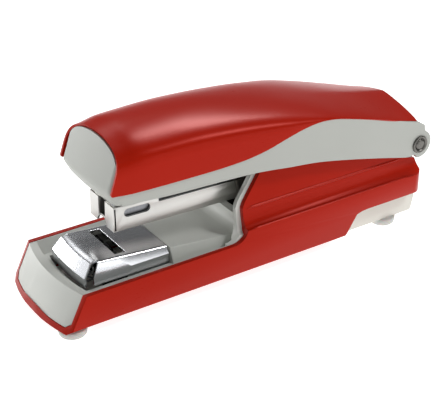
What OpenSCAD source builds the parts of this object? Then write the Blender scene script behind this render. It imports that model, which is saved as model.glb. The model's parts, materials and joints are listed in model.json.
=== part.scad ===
// Flat-clinch desktop stapler, as an assembly of its real pieces.
// Frame: +Z up, feet on z = 0, nose towards -X, hinge towards +X,
// symmetric about y = 0, origin under the middle of the whole object.

/* [Overall size] */
// Length from the nose of the base to the back of the hinge boss
length = 143; // [138:1:175]
// Width of the base
base_w = 40; // [39:1:50]
// Height of the highest point of the handle
height = 58; // [57:0.5:66]

/* [Base] */
// Height of the rubber feet
foot_h = 2.6; // [2:0.2:3.2]
// Radius of the rubber feet
foot_r = 4.5; // [3:0.5:5]
// Wall of the red base shell
shell_t = 1.6; // [1.2:0.1:2]
// Wall of the red base shell at its nose
nose_wall = 1; // [0.8:0.1:1.4]
// Backward lean of the nose panel from the vertical, in degrees
nose_lean = 26.6; // [25:0.2:28]
// Radius that the nose panel is bowed to
nose_bow = 72; // [65:1:80]
// Height of the base shell's rim round the paper table
sill_z = 14.7; // [14.2:0.1:15.2]
// Height of the shoulder along the side of the base
shoulder_z = 18.6; // [17:0.2:20]
// Height of the upper crease, where the flank starts to lean inwards
crease_z = 24.6; // [23:0.2:25.4]
// How far the flank stands in from the side of the base
flank_in = 3.6; // [3.4:0.1:4.2]
// Lean of the upper flank from the vertical, in degrees
flank_lean = 14; // [12:1:16]
// Distance of the throat in front of the hinge pin
throat_reach = 71.2; // [68:0.2:74]
// Wall of the grey mouldings
moulding_t = 1.6; // [1.2:0.1:1.8]
// Width of the bottom plate where the base shell leaves it open
plate_w = 32; // [30:0.5:33]
// Depth of the paper table's gutter below the rim
gutter_depth = 3.2; // [2.6:0.1:3.6]

/* [Hinge] */
// Height of the hinge pin
hinge_z = 29.6; // [29:0.1:30.4]
// Diameter of the hinge pin
pin_d = 4; // [3:0.2:4.8]
// Radius of the handle frame's round boss
boss_r = 5; // [4.6:0.1:5.4]
// Radial clearance of a pin in a bore that turns on it
pin_fit = 0.05; // [0.03:0.01:0.1]

/* [Staples and magazine] */
// Outside width of a staple's crown
crown_w = 12.7; // [10:0.1:15.3]
// Length of a staple's legs
leg = 6; // [5:0.1:6.2]
// Thickness of the staple wire
wire = 0.5; // [0.4:0.05:0.7]
// Length of the strip of staples
strip_len = 36; // [20:1:38]
// Sheet thickness of the magazine channel and the rail
sheet = 0.8; // [0.6:0.1:1]
// Side play between the staples and the channel
side_play = 0.35; // [0.25:0.05:0.5]
// Nose-up tilt of the magazine at rest, in degrees
mag_tilt = 1.7; // [1.4:0.1:2]
// Distance of the staple slot behind the nose of the base
slot_back = 26.85; // [26:0.1:28]
// Stroke of the driver blade at the front of the magazine
stroke = 8.64; // [7.8:0.02:9]
// Thickness of the driver blade
blade_t = 0.6; // [0.5:0.05:0.7]

/* [Clinch table] */
// Height of the clinch table's front fold
table_z = 19.2; // [18.6:0.1:19.6]
// Length of the clinch table's top
table_len = 27; // [26:0.5:28]
// Length of the slot along the stapler
slot_len = 3.7; // [3.2:0.1:4.4]
// Backward lean of the clinch table's front from the vertical, in degrees
table_lean = 21; // [20:0.5:22]
// Radius that the clinch table's front is bowed to
table_bow = 62; // [58:1:70]
// Steel thickness of the brackets
bracket_t = 1; // [0.8:0.1:1.2]
// Gap between plates that slide past each other
plate_gap = 0.4; // [0.3:0.05:0.5]

/* [Handle] */
// Wall of the red handle shell
cover_t = 1.2; // [0.9:0.1:1.4]
// Backward lean of the handle's front rim, run over rise
rim_lean = 0.36; // [0.2:0.02:0.4]
// How far the front rim stands ahead of the staple slot
rim_ahead = 6.35; // [6:0.05:8]
// Number of facets on curved covers
cover_steps = 16; // [8:2:24]

/* [Hidden] */
$fn = 48;

// Small clearances and overlaps
touch = 0.1;
cut = 1;
far = 200;

// Main places along the stapler
nose_x = -length / 2;
hinge_x = length / 2 - boss_r;
slot_x = nose_x + slot_back;
throat_x = hinge_x - throat_reach;
rear_x = hinge_x + 2.4;
notch_x = hinge_x - 33;
rim_x = slot_x - rim_ahead;
handle_end = hinge_x - 1;

// Base
half_w = base_w / 2;
throat_r = 5.3;
flank_y = half_w - flank_in;
notch_z = 11.7;
gutter_z = sill_z - gutter_depth;
throat_wall_z = 18.6;
crest_x = nose_x + 5.95;
ridge_w = 2.85;
floor_top = foot_h + shell_t;
tongue_z = floor_top + touch;
bracket_z = tongue_z + moulding_t;
foot_front_x = nose_x + 6.4;
foot_rear_x = hinge_x - 9.5;
foot_y = half_w - 5.5;
foot_rear_y = plate_w / 2 - 3;

// Magazine, in its own frame: x and z are measured from the hinge pin
mag_half = crown_w / 2 + side_play + sheet;
mag_in = mag_half - sheet;
mag_reach = hinge_x - slot_x + 1.15;
mag_low = -7.75;
mag_floor = mag_low + sheet;
mag_high = 0.56;
mag_step_x = 15.6 - mag_reach;
mag_side_top = -1.27;
press_deg = atan(stroke / mag_reach);
blade_back = mag_reach - sheet - 1.3;
blade_x = touch - blade_back - 0.55 - blade_t / 2;
strip_top = mag_floor + leg + wire + touch / 2;
rail_half = crown_w / 2 - wire - touch;
rail_top = strip_top - wire - touch / 2;
rail_end = -28;
pusher_front = strip_len + touch - blade_back;
pusher_len = 10;
rod_r = 1.2;
rod_z = mag_floor + 2.9;
collar_r = 2.2;
collar_len = 4;
window_x = 8.3 - mag_reach;
window_z = -2.2;
window_len = 9.2;
window_h = 2.8;

// Plates stacked outwards from the magazine
bracket_in = mag_half + plate_gap;
bracket_out = bracket_in + bracket_t;
lever_in = bracket_out + plate_gap;
lever_out = lever_in + bracket_t;
bracket_front = throat_x + 2.65;

// Clinch table
slot_w = crown_w + 4.1;
table_half = slot_w / 2 + 3.6;
table_front = slot_x - 11.7;
table_back = table_front + table_len;
table_drop = 2.3;
table_low = 11.4;
table_toe = 3;
table_sheet = 0.8;
table_pin_x = table_back - 1.6;
table_pin_z = 9;
table_pin_r = 1;
table_ear_r = 2.1;
table_corner = 1.1;
pocket_half = table_half + plate_gap;
gutter_y = table_half + 2;

// Handle
cover_front_y = half_w - 3.5;
cover_rear_y = half_w - 0.7;
step_front = 1;
step_rear = 0.3;
arm_front = cover_front_y - step_front;
arm_rear = cover_rear_y - step_rear;
taper_end = 0.54;
lip = 3.2;
stations = [for (f = [0:0.04:1]) f];
lever_front = slot_x + 2.4;
lever_end = along(0.69);
lever_z = hinge_z + 15;
lever_depth = 3;
seat_x = hinge_x - 20.5;
seat_z = hinge_z + 10;
web_x = along(0.62);
web_len = 10;

// Springs and screws
screw_r = 1.6;
screw_places = [throat_x + 12, hinge_x - 14];
screw_y = 4;
spring_x = throat_x + 25;
table_spring_x = slot_x - 7.8;

// Points of a circular arc
function arc(x, z, r, a0, a1, n) = [for (i = [0:n]) let (a = a0 + (a1 - a0) * i / n)
    [x + r * cos(a), z + r * sin(a)]];
// Smooth step from 0 to 1 between a and b
function ease(v, a, b) = let (t = min(1, max(0, (v - a) / (b - a)))) t * t * (3 - 2 * t);
// Place along the handle from its front rim (0) to its rear end (1)
function along(f) = rim_x + f * (handle_end - rim_x);

// Side view, cut to thickness in y: points are (x, z)
module side_plate(y0, y1) {
    translate([0, y1, 0])
        rotate([90, 0, 0])
            linear_extrude(y1 - y0)
                children();
}

// Front view, drawn out along x: points are (y, z)
module drawn_along(x0, x1) {
    translate([x0, 0, 0])
        rotate([90, 0, 90])
            linear_extrude(x1 - x0)
                children();
}

module both_sides() {
    children();
    mirror([0, 1, 0])
        children();
}

// A rod along y
module cross_rod(x, z, r, y0, y1) {
    translate([x, y1, z])
        rotate([90, 0, 0])
            cylinder(h = y1 - y0, r = r);
}

// A rod along x
module long_rod(z, r, x0, x1) {
    translate([x0, 0, z])
        rotate([0, 90, 0])
            cylinder(h = x1 - x0, r = r);
}

// A coil spring is a plain tube here
module spring_tube(h, r, t) {
    difference() {
        cylinder(h = h, r = r);
        translate([0, 0, -cut])
            cylinder(h = h + 2 * cut, r = r - t);
    }
}

// A round face that leans back: its foremost line passes through (x, z) in the middle plane
module leaning_face(x, z, lean, r) {
    translate([x, 0, z])
        rotate([0, lean, 0])
            translate([r, 0, -far / 2])
                cylinder(h = far, r = r, $fn = 96);
}

// The magazine's own frame, tilted about the hinge pin
module in_magazine(extra = 0) {
    translate([hinge_x, 0, hinge_z])
        rotate([0, mag_tilt + extra, 0])
            children();
}

// ---------------------------------------------------------------- base

// Left half of the base's cross-section, d inside its outer skin
function base_half(d) = concat(
    [[half_w - 2 - d, foot_h + d], [half_w - d, foot_h + 1.6 + d]],
    [for (i = [0:8]) let (a = i * 90 / 8)
        [flank_y - d + flank_in * (1 - sin(a)), crease_z - (crease_z - shoulder_z + d) * cos(a)]],
    [[flank_y - d - (far - crease_z) * tan(flank_lean) / 8, crease_z + (far - crease_z) / 8]]);

module base_section(d) {
    half = base_half(d);
    polygon(concat(half, [for (i = [len(half) - 1:-1:0]) [-half[i][0], half[i][1]]]));
}

// The throat: a hollow corner, an upright edge and a slanted edge, e forward of the red shell
function throat_line(e) = concat(
    arc(throat_x - throat_r - e, sill_z + throat_r, throat_r, -90, 0, 6),
    [[throat_x - e, crease_z + 0.3], [throat_x + 1.1 - e, crease_z + 2.1],
     [throat_x + 8.9 - e, hinge_z + 5.6]]);

module base_profile() {
    polygon(concat(
        [[notch_x, foot_h], [nose_x, foot_h], [nose_x, sill_z]],
        throat_line(0),
        [[throat_x + 13, hinge_z + 6.2], [hinge_x - 26, hinge_z + 3.2], [hinge_x - 8, hinge_z - 2.6],
         [hinge_x - 3, crease_z - 0.3], [rear_x - 1.9, crease_z - 1.2], [rear_x - 0.3, shoulder_z],
         [rear_x, shoulder_z - 2.5], [rear_x - 0.3, notch_z + 2], [rear_x - 1.5, notch_z + 0.3],
         [rear_x - 2.6, notch_z], [notch_x + 10.5, notch_z], [notch_x + 8.1, notch_z - 0.2],
         [notch_x + 6.1, notch_z - 0.8], [notch_x + 2.1, foot_h + 2.2]]));
}

// Plan of the base, d inside its outline: round corners and a slightly bowed nose
module base_plan(d) {
    corner = 4;
    bow = 120;
    side = half_w - d;
    ends = [nose_x + corner, rear_x - corner];
    intersection() {
        union() {
            translate([nose_x + d, corner - half_w])
                square([rear_x - nose_x - 2 * d, base_w - 2 * corner]);
            translate([ends[0], -side])
                square([ends[1] - ends[0], 2 * side]);
            for (x = ends, y = [corner - half_w, half_w - corner])
                translate([x, y])
                    circle(r = corner - d);
        }
        translate([nose_x + bow, 0])
            circle(r = bow - d);
    }
}

// Everything behind the bowed nose panel, d behind its face
module behind_nose(d) {
    leaning_face(crest_x + d, sill_z, nose_lean, nose_bow);
}

module base_shell() {
    color([0.72, 0.1, 0.08])
        difference() {
            intersection() {
                drawn_along(nose_x - cut, rear_x + cut)
                    base_section(0);
                side_plate(-half_w - cut, half_w + cut)
                    base_profile();
                translate([0, 0, -cut])
                    linear_extrude(far)
                        base_plan(0);
                behind_nose(0);
            }
            intersection() {
                drawn_along(nose_x, rear_x - shell_t)
                    base_section(shell_t);
                translate([0, 0, floor_top])
                    linear_extrude(far)
                        base_plan(nose_wall);
            }
            // the rear notch that the bottom plate fills
            translate([notch_x, -plate_w / 2 - touch, 0])
                cube([rear_x - notch_x - shell_t, plate_w + 2 * touch, notch_z + 1]);
        }
}

// ---------------------------------------------------------------- paper table

module table_section(d, low) {
    intersection() {
        base_section(d);
        translate([-far, low])
            square([2 * far, far]);
    }
}

module paper_table_body() {
    fit = shell_t + touch;
    reach = throat_x + 9.5;
    intersection() {
        drawn_along(nose_x, reach)
            table_section(fit, tongue_z);
        side_plate(-half_w, half_w)
            polygon(concat(
                [[reach, tongue_z], [nose_x, tongue_z], [nose_x, sill_z - 0.2]],
                throat_line(moulding_t),
                [[reach, hinge_z + 5.6]]));
        translate([0, 0, -cut])
            linear_extrude(far)
                base_plan(nose_wall + touch);
        behind_nose(2 * touch);
    }
}

module paper_table() {
    cheek = shell_t + touch + moulding_t;
    deck = gutter_z - moulding_t;
    color([0.72, 0.73, 0.7])
        union() {
            difference() {
                paper_table_body();
                // valley behind the nose ridge: flat gutter and sloping rims
                intersection() {
                    drawn_along(nose_x, throat_x - throat_r - moulding_t)
                        polygon([[-gutter_y, gutter_z], [gutter_y, gutter_z],
                                 [half_w - 2, sill_z - touch], [half_w - 2, far], [2 - half_w, far],
                                 [2 - half_w, sill_z - touch]]);
                    leaning_face(crest_x + ridge_w, sill_z, 0, nose_bow);
                }
                // the throat between the cheeks
                drawn_along(throat_x - throat_r - moulding_t - touch, throat_x + far)
                    table_section(cheek, gutter_z);
                // the hollow underside
                intersection() {
                    translate([nose_x, -half_w + cheek, 0])
                        cube([throat_x + 10 - nose_x, base_w - 2 * cheek, deck]);
                    behind_nose(2 * moulding_t);
                    translate([nose_x + 2 * moulding_t, -half_w, 0])
                        cube([far, base_w, far]);
                }
                // the pocket that the clinch table dips into
                intersection() {
                    translate([nose_x, -pocket_half, 0])
                        cube([table_back - nose_x + 0.6 * plate_gap, 2 * pocket_half, far]);
                    leaning_face(table_front - table_toe - 2 * plate_gap, table_low, 0, table_bow);
                }
                // room for the steel bracket, behind a low wall across the throat
                translate([bracket_front - plate_gap, -lever_out, throat_wall_z])
                    cube([far, 2 * lever_out, far]);
                translate([bracket_front + 3 - plate_gap, -lever_out, 0])
                    cube([far, 2 * lever_out, far]);
            }
            // the raised tray behind the clinch table
            intersection() {
                drawn_along(table_back + plate_gap, bracket_front + 3 - plate_gap)
                    polygon([[-gutter_y, deck], [gutter_y, deck], [gutter_y, gutter_z],
                             [table_half, table_z - table_drop - 0.6], [table_half, far],
                             [-table_half, far], [-table_half, table_z - table_drop - 0.6],
                             [-gutter_y, gutter_z]]);
                side_plate(-half_w, half_w)
                    polygon(concat(
                        [[bracket_front + 3, throat_wall_z], [bracket_front + 3, deck], [table_back, deck],
                         [table_back, table_z - table_drop - 0.2]],
                        arc(throat_x - 1.5, throat_wall_z, throat_wall_z - sill_z + 0.1, -90, 0, 6)));
            }
            // lugs that hold the ends of the clinch table's pin
            both_sides()
                difference() {
                    translate([table_pin_x - 3, pocket_half, table_pin_z - 2.2])
                        cube([6, 2.4, gutter_z - table_pin_z + 2]);
                    cross_rod(table_pin_x, table_pin_z, table_pin_r, pocket_half - cut, half_w);
                }
        }
}

// ---------------------------------------------------------------- base inside

module bottom_plate() {
    plate_half = plate_w / 2;
    color([0.87, 0.86, 0.82])
        union() {
            // a tongue that lies along the floor of the shell
            translate([nose_x + 14, -plate_half + 2, tongue_z])
                cube([notch_x - nose_x - 13, plate_w - 4, moulding_t]);
            difference() {
                side_plate(-plate_half, plate_half)
                    polygon([[notch_x + 0.4, foot_h], [rear_x - 2, foot_h], [rear_x - 1.2, foot_h + 0.7],
                             [rear_x - 0.2, notch_z - 3.5], [rear_x - 0.6, notch_z - 0.2],
                             [rear_x - 2.6, notch_z - touch], [rear_x - 2.6, notch_z + 0.8],
                             [notch_x + 12, notch_z + 0.8], [notch_x + 0.4, bracket_z]]);
                translate([notch_x, -plate_half + moulding_t, bracket_z])
                    cube([rear_x - notch_x - 4, plate_w - 2 * moulding_t, far]);
            }
        }
}

module foot(x, y) {
    rib = 0.5;
    color([0.8, 0.8, 0.78])
        translate([x, y, 0])
            rotate_extrude()
                polygon([[0, 0], [foot_r - 0.9, 0], [foot_r - rib, 0.5], [foot_r, foot_h], [0, foot_h]]);
}

module foot_front_left() {
    foot(foot_front_x, foot_y);
}

module foot_front_right() {
    foot(foot_front_x, -foot_y);
}

module foot_rear_left() {
    foot(foot_rear_x, foot_rear_y);
}

module foot_rear_right() {
    foot(foot_rear_x, -foot_rear_y);
}

module base_bracket() {
    ear_r = boss_r - 1;
    color([0.45, 0.43, 0.4])
        difference() {
            union() {
                translate([bracket_front + 3, -bracket_out, bracket_z])
                    cube([hinge_x - bracket_front - 6, 2 * bracket_out, bracket_t]);
                both_sides()
                    side_plate(bracket_in, bracket_out) {
                        polygon([[bracket_front + 3, bracket_z], [bracket_front + 3, shoulder_z + 0.5],
                                 [bracket_front, hinge_z + 1.3], [bracket_front + 2, hinge_z + 1.6],
                                 [hinge_x, hinge_z + ear_r],
                                 [hinge_x + ear_r * 0.8, hinge_z - ear_r * 0.6],
                                 [hinge_x - 5, hinge_z - 10], [hinge_x - 5, bracket_z]]);
                        translate([hinge_x, hinge_z])
                            circle(r = ear_r);
                    }
            }
            cross_rod(hinge_x, hinge_z, pin_d / 2, -half_w, half_w);
            for (x = screw_places)
                translate([x, 0, 0])
                    cylinder(h = bracket_z + 2 * bracket_t, r = screw_r);
        }
}

// Two screws from below hold the bottom plate and the steel bracket together
module base_screws() {
    head_r = 3;
    head_h = 1.4;
    color([0.6, 0.6, 0.6])
        for (x = screw_places)
            translate([x, 0, bracket_z])
                union() {
                    translate([0, 0, bracket_t])
                        cylinder(h = head_h, r = head_r);
                    cylinder(h = bracket_t + touch, r = screw_r);
                }
}

// The fixed block that folds the legs flat when the table dips below it
module clinch_former() {
    // the slot swings forward as the table dips, so the former stands ahead of its middle
    ahead = 0.45;
    long = slot_len - 1.5;
    wide = slot_w - 0.7;
    top = table_z - 2.7;
    groove_r = 1.1;
    color([0.55, 0.55, 0.52])
        difference() {
            union() {
                translate([slot_x - ahead - long / 2, -wide / 2, bracket_z])
                    cube([long, wide, top - bracket_z]);
                translate([slot_x - ahead - long / 2 - 3, -wide / 2, bracket_z])
                    cube([long + 6, wide, 1.2]);
            }
            both_sides()
                translate([slot_x, crown_w / 4, top + groove_r / 2])
                    rotate([0, 90, 0])
                        cylinder(h = long + 2 * cut, r = groove_r, center = true);
        }
}

module table_side() {
    polygon([[table_front + 0.8, table_low + 0.4], [table_front + 1.3, table_z - 0.2],
             [table_back, table_z - table_drop], [table_back, table_low - 0.4],
             [table_pin_x + table_ear_r, table_pin_z], [table_pin_x - table_ear_r, table_pin_z],
             [table_pin_x - table_ear_r - 1.5, table_low - 0.2]]);
    translate([table_pin_x, table_pin_z])
        circle(r = table_ear_r);
}

// Bent sheet-metal box: top with a slot, sloping front, two side flaps
module clinch_table() {
    face = table_half - table_corner;
    color([0.78, 0.8, 0.82])
        difference() {
            intersection() {
                union() {
                    side_plate(-table_half, table_half)
                        polygon([[table_front, table_z - table_sheet], [table_front, table_z],
                                 [table_back, table_z - table_drop],
                                 [table_back, table_z - table_drop - table_sheet]]);
                    difference() {
                        translate([table_front - table_toe - cut, -face, table_low])
                            cube([table_toe + 4, 2 * face, table_z - table_low]);
                        leaning_face(table_front + table_sheet, table_z, table_lean, table_bow);
                    }
                    both_sides()
                        side_plate(table_half - table_sheet, table_half)
                            table_side();
                }
                leaning_face(table_front, table_z, table_lean, table_bow);
            }
            translate([slot_x - slot_len / 2, -slot_w / 2, table_low])
                cube([slot_len, slot_w, far]);
            cross_rod(table_pin_x, table_pin_z, table_pin_r + pin_fit, -half_w, half_w);
        }
}

module table_pin() {
    color([0.6, 0.6, 0.6])
        cross_rod(table_pin_x, table_pin_z, table_pin_r, -pocket_half - 2, pocket_half + 2);
}

module table_spring() {
    color([0.5, 0.5, 0.5])
        translate([table_spring_x, 0, bracket_z])
            spring_tube(table_z - table_sheet - 0.8 - bracket_z, 2.6, 0.5);
}

module hinge_pin() {
    tip = 0.7;
    end_y = half_w - tip - touch;
    color([0.75, 0.76, 0.78])
        union() {
            cross_rod(hinge_x, hinge_z, pin_d / 2, -end_y, end_y);
            both_sides()
                translate([hinge_x, end_y, hinge_z])
                    rotate([-90, 0, 0])
                        cylinder(h = tip, r1 = pin_d / 2, r2 = pin_d / 2 - tip);
        }
}

module hinge_ring(side) {
    ring_r = pin_d / 2 + 1.1;
    ring_t = 0.7;
    color([0.8, 0.82, 0.84])
        translate([hinge_x, side * (cover_rear_y - step_rear + touch), hinge_z])
            rotate([-90 * side, 0, 0])
                difference() {
                    cylinder(h = ring_t, r = ring_r);
                    translate([0, 0, -cut])
                        cylinder(h = ring_t + 2 * cut, r = pin_d / 2);
                    translate([0, 0, ring_t / 2])
                        difference() {
                            cylinder(h = ring_t, r = ring_r - 0.4);
                            cylinder(h = ring_t, r = pin_d / 2);
                        }
                }
}

module hinge_ring_left() {
    hinge_ring(1);
}

module hinge_ring_right() {
    hinge_ring(-1);
}

// ---------------------------------------------------------------- magazine

function floor_z(x) = hinge_z - (x - hinge_x) * sin(mag_tilt) + mag_low * cos(mag_tilt);

module magazine_spring() {
    base = bracket_z + bracket_t;
    coil_r = 4;
    color([0.5, 0.5, 0.5])
        translate([spring_x, 0, base])
            spring_tube(floor_z(spring_x + coil_r) - base - touch, coil_r, 0.6);
}

module magazine_side() {
    ear_r = boss_r - 1.4;
    polygon([[-mag_reach, mag_low], [-mag_reach, mag_high], [mag_step_x, mag_high],
             [mag_step_x + 0.4, mag_side_top], [-12, mag_side_top], [-3, ear_r - 0.4],
             [ear_r, 0], [0, -ear_r], [-6, mag_low]]);
    circle(r = ear_r);
}

module magazine_channel() {
    lip_y = crown_w / 6;
    color([0.7, 0.7, 0.69])
        in_magazine()
            difference() {
                union() {
                    both_sides()
                        side_plate(mag_in, mag_half)
                            magazine_side();
                    translate([-mag_reach, -mag_half, mag_low])
                        cube([mag_reach - 6, 2 * mag_half, sheet]);
                    both_sides()
                        translate([-mag_reach, lip_y, mag_low])
                            cube([sheet, mag_half - lip_y, mag_high - mag_low]);
                }
                // the way out for a staple, and the arch in front of it
                translate([-mag_reach + sheet, -mag_in, mag_low - cut])
                    cube([mag_reach - sheet - blade_back, 2 * mag_in, sheet + 2 * cut]);
                translate([-mag_reach - cut, 0, mag_low - 0.6])
                    rotate([0, 90, 0])
                        cylinder(h = sheet + 2 * cut, r = lip_y + 1);
                // windows that show how many staples are left
                for (e = [-0.5, 0.5])
                    cross_rod(window_x + e * (window_len - window_h), window_z, window_h / 2,
                              -half_w, half_w);
                translate([window_x - (window_len - window_h) / 2, -half_w, window_z - window_h / 2])
                    cube([window_len - window_h, base_w, window_h]);
                cross_rod(0, 0, pin_d / 2 + pin_fit, -half_w, half_w);
            }
}

module rail_section() {
    difference() {
        translate([-rail_half, mag_floor])
            square([2 * rail_half, rail_top - mag_floor]);
        translate([-rail_half + sheet, mag_floor - cut])
            square([2 * (rail_half - sheet), rail_top - sheet - mag_floor + cut]);
    }
}

module staple_rail() {
    color([0.62, 0.62, 0.6])
        in_magazine()
            difference() {
                union() {
                    drawn_along(-blade_back, rail_end)
                        rail_section();
                    translate([rail_end - sheet, -rail_half, mag_floor])
                        cube([sheet, 2 * rail_half, rail_top - mag_floor]);
                }
                translate([pusher_front - 2, -1.4, rail_top - sheet - cut])
                    cube([rail_end - 2 * sheet - pusher_front, 2.8, sheet + 2 * cut]);
                long_rod(rod_z, rod_r, rail_end - 2 * sheet, rail_end + cut);
            }
}

module rail_rivets() {
    head_r = 1.1;
    head_h = 0.4;
    color([0.75, 0.75, 0.74])
        in_magazine()
            for (x = [-blade_back + 24, pusher_front + 14, rail_end - 3])
                translate([x, 0, mag_low - head_h])
                    cylinder(h = head_h, r = head_r);
}

module staple_strip() {
    half = crown_w / 2;
    low = strip_top - leg - wire;
    color([0.8, 0.81, 0.83])
        in_magazine()
            drawn_along(-blade_back, -blade_back + strip_len)
                difference() {
                    translate([-half, low])
                        square([crown_w, leg + wire]);
                    translate([-half + wire, low - cut])
                        square([crown_w - 2 * wire, leg + cut]);
                }
}

module staple_pusher() {
    half = crown_w / 2 - touch / 2;
    low = mag_floor + 0.15;
    top = strip_top + touch;
    color([0.2, 0.2, 0.21])
        in_magazine()
            difference() {
                union() {
                    drawn_along(pusher_front, pusher_front + pusher_len)
                        difference() {
                            translate([-half, low])
                                square([2 * half, top - low]);
                            translate([-rail_half - touch, low - cut])
                                square([2 * (rail_half + touch), rail_top + touch - low + cut]);
                        }
                    translate([pusher_front, -1, rod_z])
                        cube([collar_len, 2, top - rod_z]);
                    long_rod(rod_z, collar_r, pusher_front, pusher_front + collar_len);
                }
                long_rod(rod_z, rod_r + pin_fit, pusher_front - cut, pusher_front + pusher_len);
            }
}

module pusher_rod() {
    color([0.7, 0.7, 0.7])
        in_magazine()
            long_rod(rod_z, rod_r, pusher_front - 2, rail_end + 0.6);
}

module pusher_spring() {
    start = pusher_front + collar_len + touch;
    color([0.5, 0.5, 0.5])
        in_magazine()
            translate([start, 0, rod_z])
                rotate([0, 90, 0])
                    spring_tube(rail_end - sheet - touch - start, rod_r + 0.7, 0.5);
}

// ---------------------------------------------------------------- handle

// Height of the handle's ridge, measured down from its highest point
ridge = [[0, 1.6], [0.08, 0.5], [0.18, 0.05], [0.275, 0], [0.37, 0.7], [0.47, 2.2], [0.57, 4.2],
         [0.67, 6.7], [0.78, 9.6], [0.9, 12.8], [1, 15]];
// Height of the cover's lower edge above the hinge pin
edge = [[0, 13], [0.07, 12.4], [0.28, 12.6], [0.37, 13.1], [0.42, 13.8], [0.47, 15], [0.52, 16.8],
        [0.565, 18.2], [0.61, 19.1], [0.645, 19.3], [0.68, 18.9], [0.72, 18], [0.83, 14.6],
        [0.99, 8.8], [1, 8.5]];
// Height of the grey frame's lower edge above the hinge pin
under = [[0.01, 8.9], [0.1, 8.4], [0.19, 8], [0.36, 7.9], [0.44, 7.6], [0.52, 6.7], [0.63, 5.2],
         [0.73, 2.9], [0.845, -0.2], [0.96, -3.6]];

function ridge_z(f) = height - lookup(f, ridge);
function edge_z(f) = hinge_z + lookup(f, edge);
function cover_y(f) = cover_front_y + (cover_rear_y - cover_front_y) * min(1, f / taper_end);
// How the cover's section turns from a box with a crowned top into a plain arch
function boxy(f) = 1 - ease(f, 0.3, 0.75);
function cover_height(f, u, d) = let (
    n = 1.7 + 3.5 * boxy(f),
    crown = 3.2 * boxy(f),
    rise = ridge_z(f) - edge_z(f) - crown)
    edge_z(f) + rise * pow(1 - pow(abs(u), n), 1 / n) + crown * (1 - u * u) - d;
// One ring of the cover: outer skin from left to right, inner skin back again
function lean_at(f, z) = rim_lean * (z - edge_z(0)) * (1 - ease(f, 0, 0.12));
function skin(f, d) = [for (i = [0:cover_steps]) let (
    a = 180 * i / cover_steps,
    u = -cos(a),
    least = edge_z(f) + 0.05 * min(i, cover_steps - i),
    z = max(least, cover_height(f, u, d)))
    [along(f) + lean_at(f, z), u * (cover_y(f) - d), z]];
function ring(f) = concat(skin(f, 0), [for (i = [cover_steps:-1:0]) skin(f, cover_t)[i]]);

module handle_shell() {
    n = 2 * (cover_steps + 1);
    rings = len(stations);
    half = cover_steps;
    color([0.72, 0.1, 0.08])
        polyhedron(
            points = [for (f = stations) each ring(f)],
            faces = concat(
                [for (s = [0:rings - 2], i = [0:n - 1]) let (j = (i + 1) % n)
                    [s * n + i, (s + 1) * n + i, (s + 1) * n + j, s * n + j]],
                [for (i = [0:half - 1]) [i + 1, n - 2 - i, n - 1 - i, i]],
                [for (i = [0:half - 1]) let (e = (rings - 1) * n)
                    [e + i, e + n - 1 - i, e + n - 2 - i, e + i + 1]]));
}

// A band in plan that widens from the front rim to where the taper ends:
// outer face at y = f0 (front) and r0 (rear), inner face at f1 and r1
module arm_plan(f0, r0, f1, r1) {
    back = hinge_x + 2 * boss_r;
    polygon([[rim_x - 2, f0], [along(taper_end), r0], [back, r0], [back, r1], [along(taper_end), r1],
             [rim_x - 2, f1]]);
}

// Side view of an arm up to the cover's lower edge; its lip rises inside the boxy stretch
module arm_side(r) {
    polygon(concat(
        [for (p = under) [along(p[0]), hinge_z + p[1]]],
        [[hinge_x - 1.2, hinge_z - boss_r + 0.15], [hinge_x, hinge_z], [hinge_x + 2.2, hinge_z + 6.2],
         [hinge_x + 0.8, hinge_z + 8]],
        [for (i = [len(stations) - 1:-1:1]) let (f = stations[i])
            [along(f), edge_z(f) - touch + r * boxy(f + 0.15)]]));
    translate([hinge_x, hinge_z])
        circle(r = boss_r);
}

module arm() {
    inside = cover_t + 0.5;
    intersection() {
        side_plate(0, half_w)
            arm_side(0);
        linear_extrude(far)
            arm_plan(arm_front, arm_rear, arm_front - moulding_t, arm_rear - moulding_t);
    }
    intersection() {
        side_plate(0, half_w)
            arm_side(lip);
        linear_extrude(far)
            arm_plan(cover_front_y - inside, cover_rear_y - inside,
                     arm_front - moulding_t, arm_rear - moulding_t);
    }
}

// The nose cap closes the front of the cover: a bowed face that leans with the rim, and a chin
module nose_cap() {
    depth = 2;
    bow = 150;
    ahead = 0.8;
    low = hinge_z + lookup(0.01, under);
    high = ridge_z(0) - cover_t;
    gap = 0.4;
    half = cover_front_y - cover_t - gap;
    lean = atan(rim_lean);
    intersection() {
        drawn_along(rim_x - 8, rim_x + 12)
            polygon([for (i = [0:cover_steps]) let (
                u = -cos(180 * i / cover_steps),
                z = i == 0 || i == cover_steps ? low : cover_height(0.02, u, cover_t + gap))
                [u * half, max(low, z)]]);
        difference() {
            leaning_face(rim_x - ahead, edge_z(0), lean, bow);
            leaning_face(rim_x - ahead + depth + 1, edge_z(0), lean, bow);
        }
        side_plate(-half_w, half_w)
            polygon([[rim_x + 1.4, low], [rim_x - ahead - 1, edge_z(0)], [rim_x - ahead - 1, high],
                     [rim_x + 12, high], [rim_x + 12, low]]);
    }
}

// A low wall closes the frame behind the cover's rear end
module rear_wall() {
    half = arm_rear - moulding_t / 2;
    intersection() {
        drawn_along(handle_end - moulding_t, handle_end)
            polygon(concat(
                [for (i = [0:cover_steps]) let (u = -cos(180 * i / cover_steps))
                    [u * half, cover_height(1, u, cover_t + touch)]],
                [[half, hinge_z + 6], [-half, hinge_z + 6]]));
        translate([handle_end - 2 * moulding_t, -half_w, hinge_z])
            cube([3 * moulding_t, base_w, far]);
    }
}

module frame_screw_shanks() {
    for (y = [-screw_y, screw_y])
        translate([web_x + web_len / 2, y, lever_z])
            cylinder(h = bracket_t + moulding_t, r = screw_r);
}

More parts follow.
